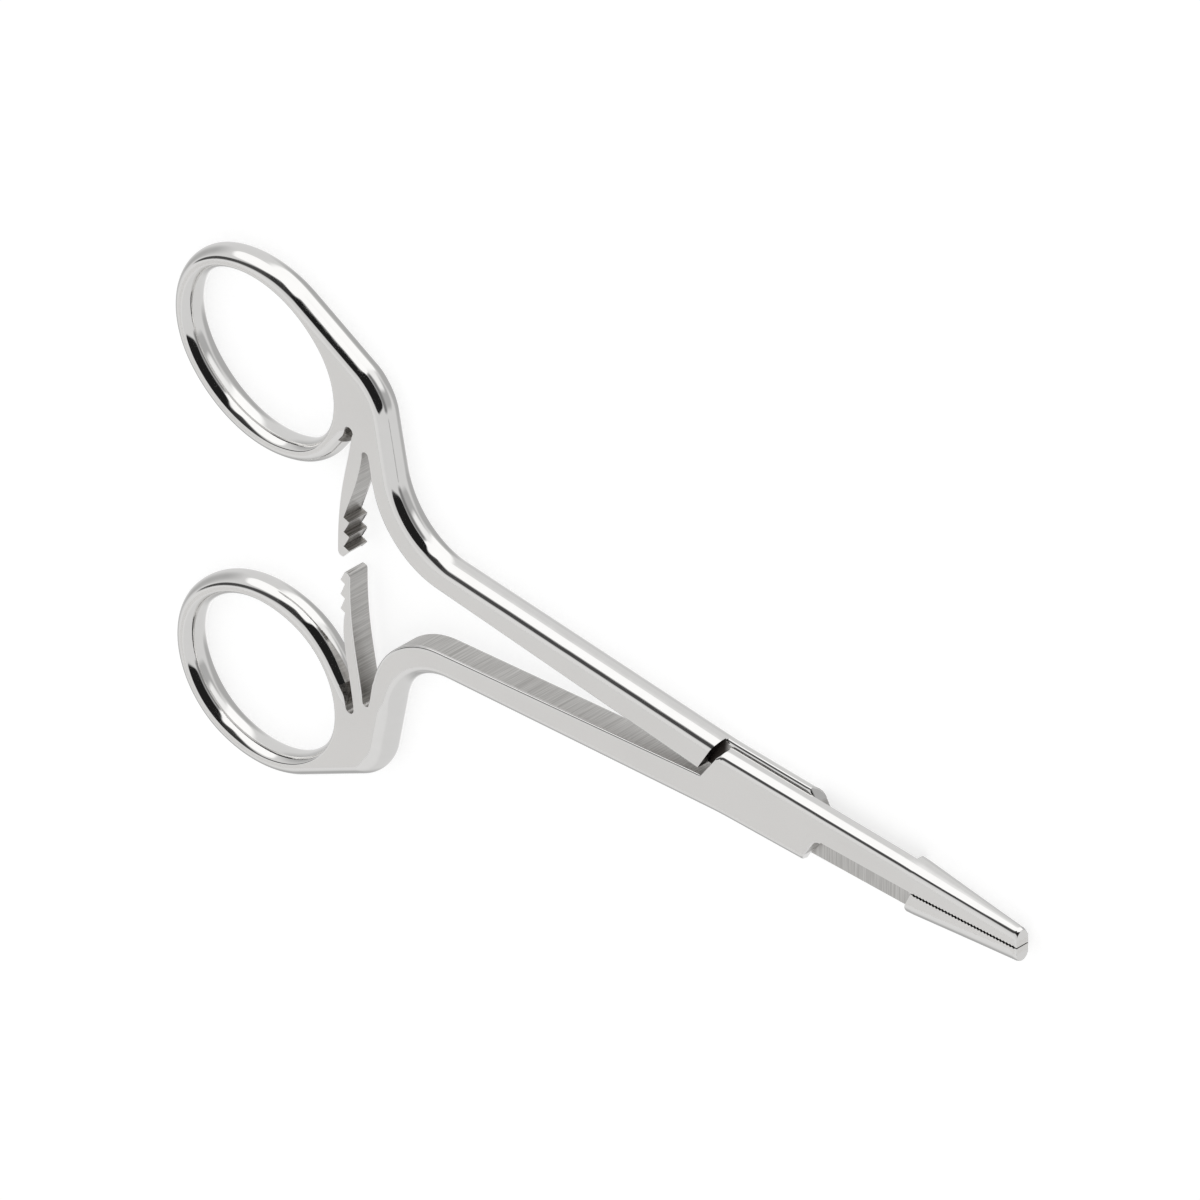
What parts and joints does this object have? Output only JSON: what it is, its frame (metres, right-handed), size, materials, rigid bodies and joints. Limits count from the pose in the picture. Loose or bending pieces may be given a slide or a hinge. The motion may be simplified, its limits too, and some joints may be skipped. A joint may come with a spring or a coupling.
{
  "type": "surgical needle holder",
  "caption": "Ring-handled surgical needle holder with serrated jaws, scissor blades behind them and a side ratchet.",
  "frame": {"origin": "on the pivot axis, in the plane of the back faces on which the instrument lies", "axes": "+X from the finger rings to the jaw tips, +Y towards half A's ring, +Z out of the front face"},
  "size_m": [0.1397, 0.0718, 0.0038],
  "materials": {
    "half_a": "satin flat faces, mirror-polished rounded edges, ground cut faces",
    "half_b": "satin flat faces, mirror-polished rounded edges, ground cut faces",
    "pivot_pin": "turned steel, ground flush"
  },
  "bodies": {
    "handle_a": {"half_a": "half_a"},
    "handle_b": {"half_b": "half_b", "pivot_pin": "pivot_pin"}
  },
  "joints": [
    {"name": "pivot", "type": "hinge", "parent": "handle_a", "child": "handle_b", "pos_m": [0, 0, 0], "axis": [0, 0, 1], "range_deg": [0, 35]}
  ]
}
